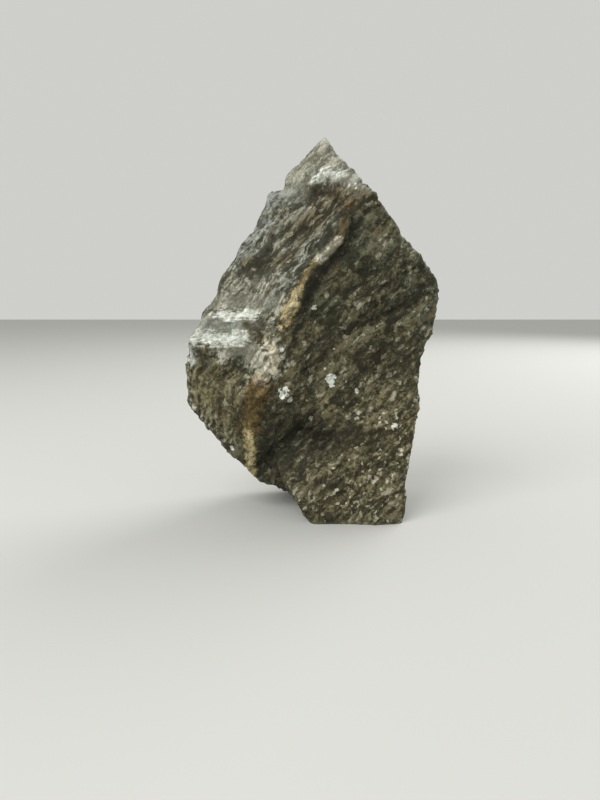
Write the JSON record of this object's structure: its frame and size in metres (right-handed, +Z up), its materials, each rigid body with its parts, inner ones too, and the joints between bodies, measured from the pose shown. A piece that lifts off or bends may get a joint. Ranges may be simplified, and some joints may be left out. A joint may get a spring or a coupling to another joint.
{
  "type": "soapstone block",
  "caption": "Rough quarry block of layered soapstone, tall and pointed, with a stepped left side, standing on a small flat sole.",
  "frame": {"origin": "under the middle of the block's box, on its flat sole", "axes": "+Z up from the sole to the tip, -Y out of the veined front face, +X to the right when looking at that face"},
  "size_m": [0.1764, 0.0852, 0.2626],
  "materials": {
    "soapstone": "rough broken stone, dark olive grey-brown with pale talc flecks, a rusty cream vein and a whitish shelf"
  },
  "bodies": {
    "root": {"soapstone_block": "soapstone"}
  },
  "joints": []
}
